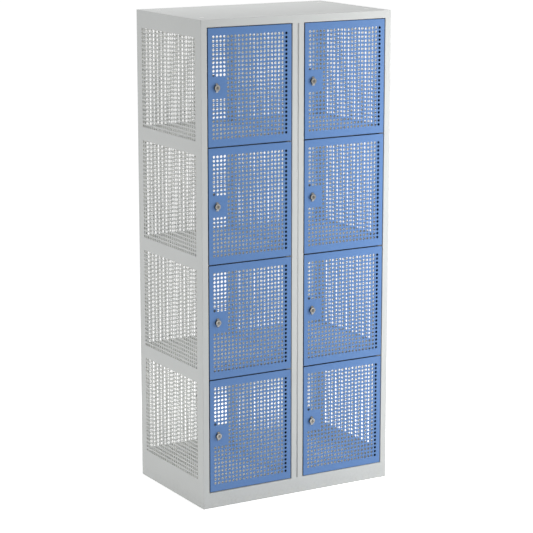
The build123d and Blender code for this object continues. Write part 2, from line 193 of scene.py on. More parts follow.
def rim_directions(columns, rows):
    """The grid's border, anticlockwise: for each step the column, the row and the way out.

    A corner is repeated while the way out turns through its right angle, in BEND_STEPS steps.
    """
    steps = []
    sides = [
        ([(i, 0) for i in range(columns + 1)], -math.pi / 2),
        ([(columns, j) for j in range(rows + 1)], 0),
        ([(i, rows) for i in range(columns, -1, -1)], math.pi / 2),
        ([(0, j) for j in range(rows, -1, -1)], math.pi),
    ]
    turn = math.pi / 2 / BEND_STEPS
    for places, angle in sides:
        steps += [(i, j, angle) for i, j in places]
        corner = places[-1]
        steps += [(*corner, angle + k * turn) for k in range(1, BEND_STEPS)]
    columns_at, rows_at, angles = np.array(steps).T
    return columns_at.astype(int), rows_at.astype(int), np.stack([np.cos(angles), np.sin(angles)], -1)


def add_rim(surface, front, back, borders_a, borders_b, profile):
    """Joins the front's border to the back's, over the profile's steps or else straight across a cut."""
    at_a, at_b, ways = rim_directions(len(borders_a) - 1, len(borders_b) - 1)
    loop = front[at_a, at_b]
    base = np.stack([borders_a[at_a], borders_b[at_b]], -1)
    for out, depth, bare in profile:
        points = np.concatenate([base + out * ways, np.full((len(base), 1), depth)], 1)
        next_loop = surface.add_points(points)
        surface.join(loop, next_loop, smooth=True, bare=bare)
        loop = next_loop
    surface.join(loop, back[at_a, at_b], smooth=bool(profile), bare=0.0 if profile else DARKENED_AT_CUT)


def perforated(borders_a, borders_b, holed, hole_radius, hole_sides, profile=()):
    """Sheet of square cells, some with a round hole: front and back, the holes' walls, and the rim.

    A hole's points lie at centre + radius * (cos t, sin t), with t from 45 degrees, so that each
    quarter between two corners of its cell is one face. The rim's profile is a list of steps outwards
    and inwards, (out, depth, darkening), from the front's border to the back's; darkening is painted shade.
    """
    surface = Surface()
    grid_a, grid_b = np.meshgrid(borders_a, borders_b, indexing="ij")
    angles = math.pi / 4 + np.arange(hole_sides) * 2 * math.pi / hole_sides
    i, j = np.nonzero(holed)
    centre_a = (borders_a[i] + borders_a[i + 1]) / 2
    centre_b = (borders_b[j] + borders_b[j + 1]) / 2
    ring_a = centre_a[:, None] + hole_radius * np.cos(angles)
    ring_b = centre_b[:, None] + hole_radius * np.sin(angles)
    layers = []
    for depth, turned_over in ((0.0, False), (SHEET, True)):
        grid = surface.add_points(np.stack([grid_a, grid_b, np.full_like(grid_a, depth)], -1))
        ring = surface.add_points(np.stack([ring_a, ring_b, np.full_like(ring_a, depth)], -1))
        add_side(surface, grid, ring, holed, turned_over)
        layers.append((grid, ring))
    (front, front_ring), (back, back_ring) = layers
    walls = np.stack([front_ring, np.roll(front_ring, -1, 1), np.roll(back_ring, -1, 1), back_ring], -1)
    surface.add_faces(walls.reshape(-1, 4), smooth=True, bare=DARKENED_AT_CUT)
    add_rim(surface, front, back, borders_a, borders_b, profile)
    return surface


def folded_rim(depth):
    """Rim profile of a pan: round bend outside, edge at the given depth, round bend inside.

    A bend's step lies at radius * sin t outwards and radius * (1 - cos t) deeper.
    """
    angles = np.arange(1, BEND_STEPS + 1) * math.pi / 2 / BEND_STEPS
    inner = BEND_RADIUS - SHEET
    # Painted shade: the outer bend darkens step by step and the fold beyond it is near black, for the dark
    # gaps round the doors
    outside = [
        (BEND_RADIUS * math.sin(t), BEND_RADIUS * (1 - math.cos(t)), bare)
        for t, bare in zip(angles, PAINTED_SHADE_BEND)
    ]
    inside = [(inner * math.sin(t), SHEET + inner * (1 - math.cos(t)), 0.0) for t in angles[::-1]]
    return outside + [(BEND_RADIUS, depth, PAINTED_SHADE_FOLD), (inner, depth, PAINTED_SHADE_FOLD)] + inside


def turned(surface, profile, centre=(0.0, 0.0), smooth=True):
    """Adds a turned form: loops of radius and depth round an axis along the depth, from its front on.

    A radius may also be an array with one value for each angle, as for a nut's flats or a keyway. A third
    value says how far the faces that lead to that loop are drawn dark, as painted shade.
    """
    loop = None
    for radius, depth, *bare in profile:
        if np.ndim(radius) == 0 and radius == 0:
            next_loop = np.full(TURNED_SIDES, surface.add_points([(*centre, depth)])[0])
        else:
            points = np.stack([
                centre[0] + radius * np.cos(TURNED_ANGLES),
                centre[1] + radius * np.sin(TURNED_ANGLES),
                np.full(TURNED_SIDES, depth),
            ], -1)
            next_loop = surface.add_points(points)
        if loop is not None:
            surface.join(loop, next_loop, smooth, *bare)
        loop = next_loop
    return surface


def polygon_radius(flats, count):
    """Radius of a regular polygon in each direction: half its flats over cos of the angle off a flat."""
    sector = 2 * math.pi / count
    off_flat = (TURNED_ANGLES + sector / 2) % sector - sector / 2
    return flats / 2 / np.cos(off_flat)


def slot_radius(width, length, least=0.001):
    """Radius of an upright slot in each direction: lesser of width / 2 / |cos t| and length / 2 / |sin t|.

    A cosine or sine below the least counts as the least, so that nothing is divided by zero.
    """
    across = np.maximum(np.abs(np.cos(TURNED_ANGLES)), least)
    along = np.maximum(np.abs(np.sin(TURNED_ANGLES)), least)
    return np.minimum(width / 2 / across, length / 2 / along)


class Term:
    """A shader value that takes part in sums, each through a Math node."""

    def __init__(self, shader, socket):
        self.shader, self.socket = shader, socket

    def __add__(self, other):
        return self.shader.math("ADD", self, other)

    def __radd__(self, other):
        return self.shader.math("ADD", other, self)

    def __sub__(self, other):
        return self.shader.math("SUBTRACT", self, other)

    def __rsub__(self, other):
        return self.shader.math("SUBTRACT", other, self)

    def __mul__(self, other):
        return self.shader.math("MULTIPLY", self, other)

    def __rmul__(self, other):
        return self.shader.math("MULTIPLY", other, self)


# Numbers of the Mix node's sockets for colours, which share their names with those for other values
MIX_FACTOR = 0
MIX_FIRST = 6
MIX_SECOND = 7
MIX_RESULT = 2


class Shader:
    """The node tree of a new material, round its Principled surface."""

    def __init__(self, name, **constants):
        self.material = bpy.data.materials.new(name)
        self.material.use_nodes = True
        self.tree = self.material.node_tree
        self.surface = self.tree.nodes["Principled BSDF"]
        self.coordinates = self.node("TexCoord", output="Object")
        for socket, value in constants.items():
            self.surface.inputs[socket.replace("_", " ")].default_value = value

    def node(self, kind, inputs=None, output=0, **settings):
        """Adds a node with its settings and inputs, and returns the output asked for."""
        made = self.tree.nodes.new("ShaderNode" + kind)
        for setting, value in settings.items():
            setattr(made, setting, value)
        for socket, value in (inputs or {}).items():
            if isinstance(value, Term):
                self.tree.links.new(value.socket, made.inputs[socket])
            else:
                made.inputs[socket].default_value = value
        return Term(self, made.outputs[output])

    def math(self, operation, first, second):
        """The two values put together by a Math node."""
        return self.node("Math", {0: first, 1: second}, operation=operation)

    def noise(self, size, detail=2.0):
        """Smooth noise from 0 to 1, with features about that many metres across."""
        return self.node("TexNoise", {"Vector": self.coordinates, "Scale": 1 / size, "Detail": detail})

    def crystals(self, size):
        """Distance from the middles of crystals about that many metres across."""
        inputs = {"Vector": self.coordinates, "Scale": 1 / size}
        return self.node("TexVoronoi", inputs, output="Distance")

    def read_darkening(self):
        """How far each face is drawn dark, as its mesh says: painted shade, and a slight darkening at cuts.
        A mesh that doesn't say counts as not darkened.
        """
        return self.node("Attribute", output="Fac", attribute_name="bare")

    def ramp(self, value, low, high):
        """0 below one value, 1 above another, and smooth between them."""
        inputs = {"Value": value, "From Min": low, "From Max": high}
        return self.node("MapRange", inputs, interpolation_type="SMOOTHSTEP")

    def mix(self, factor, first, second):
        """Colour between two colours."""
        inputs = {MIX_FACTOR: factor, MIX_FIRST: first, MIX_SECOND: second}
        return self.node("Mix", inputs, output=MIX_RESULT, data_type="RGBA")

    def feed(self, socket, value):
        """Links a varying value to one of the surface's sockets."""
        self.tree.links.new(value.socket, self.surface.inputs[socket])

    def bump(self, height, strength, distance):
        """Gives the surface a relief."""
        inputs = {"Height": height, "Strength": strength, "Distance": distance}
        self.feed("Normal", self.node("Bump", inputs))


def shade(colour, factor):
    """A colour made lighter or darker."""
    return (*(min(1.0, part * factor) for part in colour), 1.0)


# Powder coat
GREY = (0.6, 0.615, 0.605)
GREY_ROUGHNESS = 0.42
BLUE = (0.103, 0.222, 0.483)
BLUE_ROUGHNESS = 0.4
COAT_IOR = 1.5
PEEL_SIZE = 2.2 * MM
GRAIN_SIZE = 0.5 * MM
GRAIN_MEAN = 0.5
GRAIN_ROUGHENS = 0.12
FILM_CLOUD_SIZE = 180 * MM
FILM_DARKEST = 0.97
FILM_LIGHTEST = 1.03
SMUDGE_SIZE = 60 * MM
SMUDGE_SPAN = (0.52, 0.75)
SMUDGE_ROUGHENS = 0.06
# Painted shade: darkened faces go towards near black, turn metallic and get rougher; cuts only a little
DARKENED_SHADE = 0.03
DARKENED_METAL_SPAN = (0.5, 1.0)
DARKENED_ROUGHENS = 0.3
DUST_SIZE = 9 * MM
DUST_SPAN = (0.4, 0.8)
DUST_HEIGHT = 70 * MM
DUST_COLOUR = (0.35, 0.33, 0.3, 1.0)
DUST_COVERS = 0.2
DUST_ROUGHENS = 0.15
PEEL_RELIEF = 0.8
GRAIN_RELIEF = 0.2
COAT_RELIEF_STRENGTH = 0.35
COAT_RELIEF_HEIGHT = 0.06 * MM


def powder_coat(name, colour, roughness):
    """Satin powder coat: orange peel, cloudy film thickness, painted shade towards near black on darkened
    faces, floor dust.
    """
    shader = Shader(name, IOR=COAT_IOR)
    peel = shader.noise(PEEL_SIZE)
    grain = shader.noise(GRAIN_SIZE, detail=1.0)
    cloud = shader.noise(FILM_CLOUD_SIZE, detail=3.0)
    smudge = shader.ramp(shader.noise(SMUDGE_SIZE, detail=4.0), *SMUDGE_SPAN)
    bare = shader.read_darkening()
    height = shader.node("SeparateXYZ", {"Vector": shader.coordinates}, output="Z")
    near_floor = 1 - shader.ramp(height, 0.0, DUST_HEIGHT)
    dust = near_floor * shader.ramp(shader.noise(DUST_SIZE, detail=5.0), *DUST_SPAN)
    film = shader.mix(cloud, shade(colour, FILM_DARKEST), shade(colour, FILM_LIGHTEST))
    # Painted shade: darkened faces go towards near black
    film = shader.mix(bare, film, shade(colour, DARKENED_SHADE))
    film = shader.mix(dust * DUST_COVERS, film, DUST_COLOUR)
    shader.feed("Base Color", film)
    shader.feed("Metallic", shader.ramp(bare, *DARKENED_METAL_SPAN))
    worn = roughness + (grain - GRAIN_MEAN) * GRAIN_ROUGHENS + smudge * SMUDGE_ROUGHENS
    shader.feed("Roughness", worn + dust * DUST_ROUGHENS + bare * DARKENED_ROUGHENS)
    relief = peel * PEEL_RELIEF + grain * GRAIN_RELIEF
    shader.bump(relief, COAT_RELIEF_STRENGTH, COAT_RELIEF_HEIGHT)
    return shader.material


# Nickel plate
MARK_SIZE = 0.25 * MM
MARKS_ROUGHEN = 0.12
HAZE_SIZE = 4 * MM
HAZE_SPAN = (0.45, 0.75)
HAZE_ROUGHENS = 0.1
NICKEL_CLEAR = (0.5, 0.485, 0.45, 1.0)
NICKEL_HAZY = (0.38, 0.37, 0.34, 1.0)
# Near black that the lock's darkened faces go towards: painted shade and painted dark reflection
NICKEL_PAINTED_SHADE = (0.02, 0.02, 0.02, 1.0)
NICKEL_ROUGHNESS = 0.2
NICKEL_RELIEF_STRENGTH = 0.25
NICKEL_RELIEF_HEIGHT = 0.02 * MM


def nickel():
    """Nickel plate: fine marks, handling haze, and painted shade towards near black where the mesh darkens
    it.
    """
    shader = Shader("nickel_plate", Metallic=1.0)
    marks = shader.noise(MARK_SIZE, detail=3.0)
    haze = shader.ramp(shader.noise(HAZE_SIZE, detail=4.0), *HAZE_SPAN)
    bare = shader.read_darkening()
    plate = shader.mix(haze, NICKEL_CLEAR, NICKEL_HAZY)
    shader.feed("Base Color", shader.mix(bare, plate, NICKEL_PAINTED_SHADE))
    shader.feed("Roughness", NICKEL_ROUGHNESS + marks * MARKS_ROUGHEN + haze * HAZE_ROUGHENS)
    shader.bump(marks, NICKEL_RELIEF_STRENGTH, NICKEL_RELIEF_HEIGHT)
    return shader.material


# Zinc plate
CRYSTAL_SIZE = 1.6 * MM
CRYSTALS_ROUGHEN = 0.15
ZINC_CLOUD_SIZE = 5 * MM
ZINC_CLOUD_ROUGHENS = 0.1
ZINC_CLOUD_RELIEF = 0.5
ZINC_DARK = (0.3, 0.29, 0.27, 1.0)
ZINC_LIGHT = (0.44, 0.43, 0.41, 1.0)
ZINC_ROUGHNESS = 0.38
ZINC_RELIEF_STRENGTH = 0.2
ZINC_RELIEF_HEIGHT = 0.03 * MM


def zinc():
    """Dull zinc plate: crystals and clouds, in its colour, gloss and relief."""
    shader = Shader("dull_zinc", Metallic=1.0)
    crystals = shader.crystals(CRYSTAL_SIZE)
    cloud = shader.noise(ZINC_CLOUD_SIZE, detail=4.0)
    shader.feed("Base Color", shader.mix(cloud, ZINC_DARK, ZINC_LIGHT))
    shader.feed("Roughness", ZINC_ROUGHNESS + crystals * CRYSTALS_ROUGHEN + cloud * ZINC_CLOUD_ROUGHENS)
    relief = crystals + cloud * ZINC_CLOUD_RELIEF
    shader.bump(relief, ZINC_RELIEF_STRENGTH, ZINC_RELIEF_HEIGHT)
    return shader.material


# White plastic
PLASTIC_IOR = 1.48
PLASTIC_GRAIN_SIZE = 0.35 * MM
PLASTIC_GRAIN_ROUGHENS = 0.12
PLASTIC_CLOUD_SIZE = 8 * MM
PLASTIC_DARK = (0.9, 0.9, 0.88, 1.0)
PLASTIC_LIGHT = (0.95, 0.95, 0.935, 1.0)
PLASTIC_ROUGHNESS = 0.42
PLASTIC_RELIEF_STRENGTH = 0.3
PLASTIC_RELIEF_HEIGHT = 0.03 * MM


def white_plastic():
    """Moulded white plastic with a fine spark-eroded grain."""
    shader = Shader("white_plastic", IOR=PLASTIC_IOR)
    grain = shader.noise(PLASTIC_GRAIN_SIZE)
    cloud = shader.noise(PLASTIC_CLOUD_SIZE, detail=3.0)
    shader.feed("Base Color", shader.mix(cloud, PLASTIC_DARK, PLASTIC_LIGHT))
    shader.feed("Roughness", PLASTIC_ROUGHNESS + grain * PLASTIC_GRAIN_ROUGHENS)
    shader.bump(grain, PLASTIC_RELIEF_STRENGTH, PLASTIC_RELIEF_HEIGHT)
    return shader.material


MATERIALS = {
    "light_grey_paint": powder_coat("light_grey_coat", GREY, GREY_ROUGHNESS),
    "blue_paint": powder_coat("blue_coat", BLUE, BLUE_ROUGHNESS),
    "nickel_lock": nickel(),
    "zinc_steel": zinc(),
    "white_plastic": white_plastic(),
}


def finish_node(name, slot):
    """Gives a CAD node that stays in view its procedural finish."""
    mesh = frame["nodes"][name].data
    mesh.materials.clear()
    mesh.materials.append(MATERIALS[slot])


def add_piece(made, body, slot, *nodes):
    """Finishes a new piece, lets it ride on its body and stand for its CAD nodes."""
    made.data.materials.append(MATERIALS[slot])
    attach(made, body)
    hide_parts(*nodes)


def level_borders(low, high):
    """Cells up the height, with the rows of all levels."""
    return cell_borders(low, high, [LOWEST_ROW + k * LEVEL_PITCH for k in range(TIERS)], LEVEL_ROWS)


def wall_borders(node):
    """Cells of a wall that runs along the depth, between the edges of its CAD node."""
    low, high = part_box(node)
    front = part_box("left_stile")[0].y
    along, along_holed = cell_borders(low.y, high.y, [front + WALL_FIRST_COLUMN], WALL_COLUMNS)
    up, up_holed = level_borders(low.z, high.z)
    return along, up, np.outer(along_holed, up_holed)


def add_walls():
    """Side panels and partition, each a flat sheet with four fields of holes."""
    for node, inward in (("left_side_panel", 1), ("right_side_panel", -1), ("centre_partition", 1)):
        low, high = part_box(node)
        surface = perforated(*wall_borders(node), WALL_HOLE_RADIUS, WALL_HOLE_SIDES)
        outer_face = low.x if inward > 0 else high.x
        made = surface.object(f"{node}_sheet", (outer_face, 0, 0), (Y_AXIS, Z_AXIS, inward * X_AXIS))
        add_piece(made, "cabinet", "light_grey_paint", node)


def add_back():
    """Back panel, as the halves behind the left and the right column."""
    low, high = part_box("back_panel")
    width = (BACK_COLUMNS - 1) * HOLE_PITCH
    ends = {
        "left": (low.x, 0.0, low.x + BACK_FIRST_COLUMN),
        "right": (0.0, high.x, high.x - BACK_FIRST_COLUMN - width),
    }
    up, up_holed = level_borders(low.z, high.z)
    for side, (start, end, first) in ends.items():
        across, across_holed = cell_borders(start, end, [first], BACK_COLUMNS)
        holed = np.outer(across_holed, up_holed)
        surface = perforated(across, up, holed, WALL_HOLE_RADIUS, WALL_HOLE_SIDES)
        made = surface.object(f"back_sheet_{side}", (0, high.y, 0), (X_AXIS, Z_AXIS, -Y_AXIS))
        add_piece(made, "cabinet", "light_grey_paint", "back_panel")


def add_door(place):
    """Door leaf: folded pan with its field of holes, plain where the lock sits.

    Cell 0 in each direction is the plain one at the border.
    """
    node = f"door_leaf_{place}"
    low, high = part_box(node)
    middle_x, middle_z = middle(low, high)
    first_x = middle_x - (DOOR_COLUMNS - 1) * HOLE_PITCH / 2
    first_z = middle_z - (DOOR_ROWS - 1) * HOLE_PITCH / 2
    across, across_holed = cell_borders(low.x + BEND_RADIUS, high.x - BEND_RADIUS, [first_x], DOOR_COLUMNS)
    up, up_holed = cell_borders(low.z + BEND_RADIUS, high.z - BEND_RADIUS, [first_z], DOOR_ROWS)
    holed = np.outer(across_holed, up_holed)
    plate_row = 1 + (DOOR_ROWS - PLATE_ROWS) // 2
    holed[1:1 + PLATE_COLUMNS, plate_row:plate_row + PLATE_ROWS] = False
    rim = folded_rim(high.y - low.y)
    surface = perforated(across, up, holed, DOOR_HOLE_RADIUS, DOOR_HOLE_SIDES, rim)
    made = surface.object(f"door_sheet_{place}", (0, low.y, 0), UPRIGHT)
    add_piece(made, f"door_{place}", "blue_paint", node)


# Folded members: sections as in the CAD part, except for the post's groove, which is shallower here
STILE_WIDTH = 25 * MM
POST_HALF = 25 * MM
PLINTH_HEIGHT = 60 * MM
FRAME_DEPTH = 18 * MM
FRAME_LIP = 12 * MM
FLOOR_HEIGHT = 46 * MM
GROOVE_HALF = 1.5 * MM
GROOVE_DEPTH = 1.8 * MM
GROOVE_BEND = 1 * MM
STIFFENER_DEPTH = 12 * MM
STIFFENER_HOLE_MARGIN = 0.5 * MM

# Where two members meet, the bend is drawn nearly sharp, and eases to its own radius beside that
SHARP = 0.1 * MM
EASE = 0.3 * MM


def folded_line(corners, side_offset, radii):
    """Line with round bends, moved to its left: bend centre + (radius - offset) * way out of the bend.

    A bend to the right has its centre on the other side, so there its radius grows.
    """
    corners = np.asarray(corners, float)
    runs = np.diff(corners, axis=0)
    runs /= np.linalg.norm(runs, axis=1)[:, None]
    lefts = np.stack([-runs[:, 1], runs[:, 0]], -1)
    share = np.linspace(0, math.pi / 2, BEND_STEPS + 1)[:, None]
    parts = [corners[:1] + side_offset * lefts[:1]]
    for k, radius in enumerate(radii, 1):
        turn = np.sign(lefts[k - 1] @ runs[k])
        centre = corners[k] + radius * (runs[k] - runs[k - 1])
        out = -turn * (np.cos(share) * lefts[k - 1] + np.sin(share) * lefts[k])
        parts.append(centre + (radius - turn * side_offset) * out)
    parts.append(corners[-1:] + side_offset * lefts[-1:])
    return np.concatenate(parts)


def bend_faces(count, bends):
    """Which steps of a section are in a bend: its outer line, then its inner line run through backwards."""
    in_bend = np.zeros(2 * count, bool)
    for k in range(bends):
        start = 1 + k * (BEND_STEPS + 1)
        in_bend[start:start + BEND_STEPS] = in_bend[-2 - start:-2 - start - BEND_STEPS:-1] = True
    return in_bend


def folded_strip(corners, levels, radii=None, inside_painted_shade=0.0):
    """Sheet folded along a line and drawn through levels: outer face, inner face, edges and both ends.

    A level is its place and the numbers of the bends that are nearly sharp there.
    """
    radii = radii or [BEND_RADIUS] * (len(corners) - 2)
    surface = Surface()
    inner = folded_line(corners, SHEET, radii)
    count = len(inner)
    loops = []
    for place, sharp in levels:
        eased = [SHARP if k in sharp else radius for k, radius in enumerate(radii)]
        section = np.concatenate([folded_line(corners, 0.0, eased), inner[::-1]])
        points = np.stack([section[:, 0], np.full(len(section), place), section[:, 1]], -1)
        loops.append(surface.add_points(points))
    in_bend = bend_faces(count, len(radii))
    for lower, upper in zip(loops, loops[1:]):
        sides = np.stack([lower, np.roll(lower, -1), np.roll(upper, -1), upper], -1)
        # The inner face takes the painted shade asked for; edges and ends are drawn a little darker, as
        # cuts
        for part, bare in ((slice(0, count - 1), 0.0), (slice(count, -1), inside_painted_shade)):
            surface.add_faces(sides[part][in_bend[part]], smooth=True, bare=bare)
            surface.add_faces(sides[part][~in_bend[part]], bare=bare)
        surface.add_faces(sides[[count - 1, -1]], bare=DARKENED_AT_CUT)
    for loop, order in ((loops[0], -1), (loops[-1], 1)):
        first, second = loop[:count], loop[:count - 1:-1]
        ends = np.stack([first[:-1], first[1:], second[1:], second[:-1]], -1)
        surface.add_faces(ends[:, ::order], bare=DARKENED_AT_CUT)
    return surface


def mirrored_line(corners):
    """The line on the other side of the middle, run through backwards so that its inside stays left."""
    return [(-x, y) for x, y in reversed(corners)]


def frame_depths():
    """Y of the frame's front, and of its members' back edges."""
    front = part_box("left_stile")[0].y
    return front, front + FRAME_DEPTH


def opening_heights():
    """Z of the plinth's top and of the top rail's lower edge, between which the doors stand."""
    return PLINTH_HEIGHT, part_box("top_rail")[0].z


def add_stiles():
    """Channel up each side. Its inner front bend is sharp where the top rail and the plinth run into it."""
    low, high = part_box("left_stile")
    front, back = frame_depths()
    opening_low, opening_high = opening_heights()
    inner = low.x + STILE_WIDTH
    stile = [(low.x, back), (low.x, front), (inner, front), (inner, back), (inner - FRAME_LIP, back)]
    levels = [
        (low.z, (1,)),
        (opening_low, (1,)),
        (opening_low + EASE, ()),
        (opening_high - EASE, ()),
        (opening_high, (1,)),
        (high.z, (1,)),
    ]
    for name, corners in (("left_stile", stile), ("right_stile", mirrored_line(stile))):
        made = folded_strip(corners, levels).object(f"{name}_channel", (0, 0, 0), UPRIGHT)
        add_piece(made, "cabinet", "light_grey_paint", name)


def add_post():
    """Channel between the columns, grooved down its middle, its lips closed on the partition."""
    front, back = frame_depths()
    half_post = [
        (-SHEET / 2, back),
        (-POST_HALF, back),
        (-POST_HALF, front),
        (-GROOVE_HALF, front),
        (-GROOVE_HALF, front + GROOVE_DEPTH),
    ]
    bends = [BEND_RADIUS, BEND_RADIUS, BEND_RADIUS, GROOVE_BEND]
    levels = [(height, ()) for height in opening_heights()]
    surface = folded_strip(half_post + mirrored_line(half_post), levels, bends + bends[::-1])
    made = surface.object("centre_post_channel", (0, 0, 0), UPRIGHT)
    add_piece(made, "cabinet", "light_grey_paint", "centre_post")


def add_rail_and_plinth():
    """Channels across the top and the foot. The front bend beside the opening is sharp at the post.

    The rail's upper front bend is sharp all along.
    """
    low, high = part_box("left_stile")
    front, back = frame_depths()
    opening_low, opening_high = opening_heights()
    rail = [
        (back, high.z),
        (front, high.z),
        (front, opening_high),
        (back, opening_high),
        (back, opening_high + FRAME_LIP),
    ]
    plinth = [
        (back, FLOOR_HEIGHT),
        (back, opening_low),
        (front, opening_low),
        (front, low.z),
        (back, low.z),
    ]
    end = low.x + STILE_WIDTH
    for name, corners, always, at_post in (("top_rail", rail, (0,), (0, 1)), ("plinth", plinth, (), (1,))):
        levels = [
            (end, always),
            (-POST_HALF - EASE, always),
            (-POST_HALF, at_post),
            (POST_HALF, at_post),
            (POST_HALF + EASE, always),
            (-end, always),
        ]
        made = folded_strip(corners, levels).object(f"{name}_channel", (0, 0, 0), ACROSS)
        add_piece(made, "cabinet", "light_grey_paint", name)


def add_stiffener(place):
    """Channel up the door's hinge side, with near-black painted shade on its inside."""
    low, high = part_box(f"door_stiffener_{place}")
    door_low, door_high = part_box(f"door_leaf_{place}")
    last_hole = (door_low.x + door_high.x) / 2 + (DOOR_COLUMNS - 1) * HOLE_PITCH / 2
    web = last_hole - DOOR_HOLE_RADIUS - STIFFENER_HOLE_MARGIN - SHEET
    back = door_low.y + STIFFENER_DEPTH
    corners = [
        (door_high.x - SHEET, door_low.y + BEND_RADIUS),
        (door_high.x - SHEET, back),
        (web, back),
        (web, door_low.y + SHEET),
    ]
    surface = folded_strip(corners, [(low.z, ()), (high.z, ())], inside_painted_shade=PAINTED_SHADE_INSIDE)
    made = surface.object(f"door_channel_{place}", (0, 0, 0), UPRIGHT)
    add_piece(made, f"door_{place}", "blue_paint", f"door_stiffener_{place}")


# Lock: depths run back from the door's face
LOCK_FACE_RADIUS = 11 * MM
LOCK_FACE_DEPTH = -8.5 * MM
LOCK_EDGE = 1.5 * MM
LUG_HALF_WIDTH = 5 * MM
LUG_LOW = -18 * MM
LUG_HIGH = 16 * MM
LUG_DEPTH = -6 * MM
LUG_BEVEL = 4.5 * MM
LUG_CORNER = 2.2 * MM
LUG_EDGE = 0.5 * MM
LUG_POINTS = 4 * BEND_STEPS
LOCK_BODY_RADIUS = 9 * MM
LOCK_BODY_END = 18.6 * MM
LOCK_BORE_RADIUS = 6.08 * MM
THREAD_START = 5.2 * MM
THREAD_PITCH = 1 * MM
THREAD_DEPTH = 0.45 * MM
NUT_SIDES = 6
NUT_FLATS = 23 * MM
NUT_THICKNESS = 4 * MM
NUT_CHAMFER = 0.7 * MM
NUT_FACE_RADIUS = NUT_FLATS / 2 + NUT_CHAMFER / 4
PLUG_RADIUS = 6 * MM
PLUG_FACE_DEPTH = -7.9 * MM
PLUG_EDGE = 0.3 * MM
PLUG_END = 18.9 * MM
TAIL_SIDES = 4
TAIL_WIDTH = 7 * MM
CAM_BACK = 20.9 * MM
HEAD_RADIUS = 5 * MM
HEAD_TOP_RADIUS = HEAD_RADIUS * 0.8
HEAD_END = 22.1 * MM
KEYWAY_WIDTH = 1.8 * MM
KEYWAY_LENGTH = 8 * MM
KEYWAY_DEPTH = 8 * MM


def thread_profile():
    """Rings of a fine thread on the lock's body: crest and root in turn, from the nut to its end."""
    count = int((LOCK_BODY_END - THREAD_START) / THREAD_PITCH)
    rings = []
    for k in range(count):
        start = THREAD_START + k * THREAD_PITCH
        rings.append((LOCK_BODY_RADIUS, start))
        rings.append((LOCK_BODY_RADIUS - THREAD_DEPTH, start + THREAD_PITCH / 2))
    return rings


def case_profile():
    """The case: mouth of the bore, face with its round edge, collar, threaded body, and back up the bore.

    The edge lies at edge * (1 - sin t) inside the face's radius and edge * (1 - cos t) behind the face.
    """
    angles = np.arange(LOCK_EDGE_STEPS + 1) * math.pi / 2 / LOCK_EDGE_STEPS
    radii = [LOCK_FACE_RADIUS - LOCK_EDGE * (1 - math.sin(t)) for t in angles]
    depths = [LOCK_FACE_DEPTH + LOCK_EDGE * (1 - math.cos(t)) for t in angles]
    mouth = (LOCK_BORE_RADIUS, LOCK_FACE_DEPTH + PLUG_EDGE)
    # Painted shade and painted dark reflection: some on the face and its edge, near black on the collar's
    # side
    return [
        mouth,
        (LOCK_BORE_RADIUS + PLUG_EDGE, LOCK_FACE_DEPTH),
        *((radius, depth, PAINTED_SHADE_FACE) for radius, depth in zip(radii, depths)),
        (LOCK_FACE_RADIUS, 0.0, PAINTED_SHADE_COLLAR),
        (LOCK_BODY_RADIUS, 0.0),
        *thread_profile(),
        (LOCK_BODY_RADIUS, LOCK_BODY_END),
        (LOCK_BORE_RADIUS, LOCK_BODY_END),
        mouth,
    ]


def nut_profile():
    """Nut behind the door's sheet, the corners of its hexagon chamfered at both faces."""
    near, far = SHEET, SHEET + NUT_THICKNESS
    flats = polygon_radius(NUT_FLATS, NUT_SIDES)
    chamfered = np.minimum(flats, NUT_FACE_RADIUS)
    return [
        (LOCK_BODY_RADIUS, near),
        (chamfered, near),
        (flats, near + NUT_CHAMFER),
        (flats, far - NUT_CHAMFER),
        (chamfered, far),
        (LOCK_BODY_RADIUS, far),
        (LOCK_BODY_RADIUS, near),
    ]


def plug_profile():
    """Plug: the keyway's floor and walls, the face, the barrel, the square tail and the peened head."""
    keyway = slot_radius(KEYWAY_WIDTH, KEYWAY_LENGTH)
    tail = polygon_radius(TAIL_WIDTH, TAIL_SIDES)
    # Painted shade: near black in the keyway, lighter on the plug's face and edge
    return [
        (0.0, PLUG_FACE_DEPTH + KEYWAY_DEPTH),
        (keyway, PLUG_FACE_DEPTH + KEYWAY_DEPTH, PAINTED_SHADE_INSIDE),
        (keyway, PLUG_FACE_DEPTH, PAINTED_SHADE_INSIDE),
        (PLUG_RADIUS - PLUG_EDGE, PLUG_FACE_DEPTH, PAINTED_SHADE_PLUG),
        (PLUG_RADIUS, PLUG_FACE_DEPTH + PLUG_EDGE, PAINTED_SHADE_PLUG),
        (PLUG_RADIUS, PLUG_END),
        (tail, PLUG_END),
        (tail, CAM_BACK),
        (HEAD_RADIUS, CAM_BACK),
        (HEAD_RADIUS, (CAM_BACK + HEAD_END) / 2),
        (HEAD_TOP_RADIUS, HEAD_END),
        (0.0, HEAD_END),
    ]


def lug_outline(inset_a, inset_b, depth):
    """Outline of the lugs' bar with round corners: corner centre + radius * (cos t, sin t).

    It runs anticlockwise from the upper right corner, with BEND_STEPS points in each corner.
    """
    radius = LUG_CORNER - inset_a
    corners, steps = np.divmod(np.arange(LUG_POINTS), BEND_STEPS)
    angles = (steps / (BEND_STEPS - 1) + corners) * math.pi / 2
    right = np.isin(corners, (0, 3))
    upper = np.isin(corners, (0, 1))
    centre_a = np.where(right, 1, -1) * (LUG_HALF_WIDTH - LUG_CORNER)
    centre_b = np.where(upper, LUG_HIGH - inset_b - LUG_CORNER, LUG_LOW + inset_b + LUG_CORNER)
    points = [centre_a + radius * np.cos(angles), centre_b + radius * np.sin(angles)]
    return np.stack([*points, np.full(LUG_POINTS, depth)], -1)


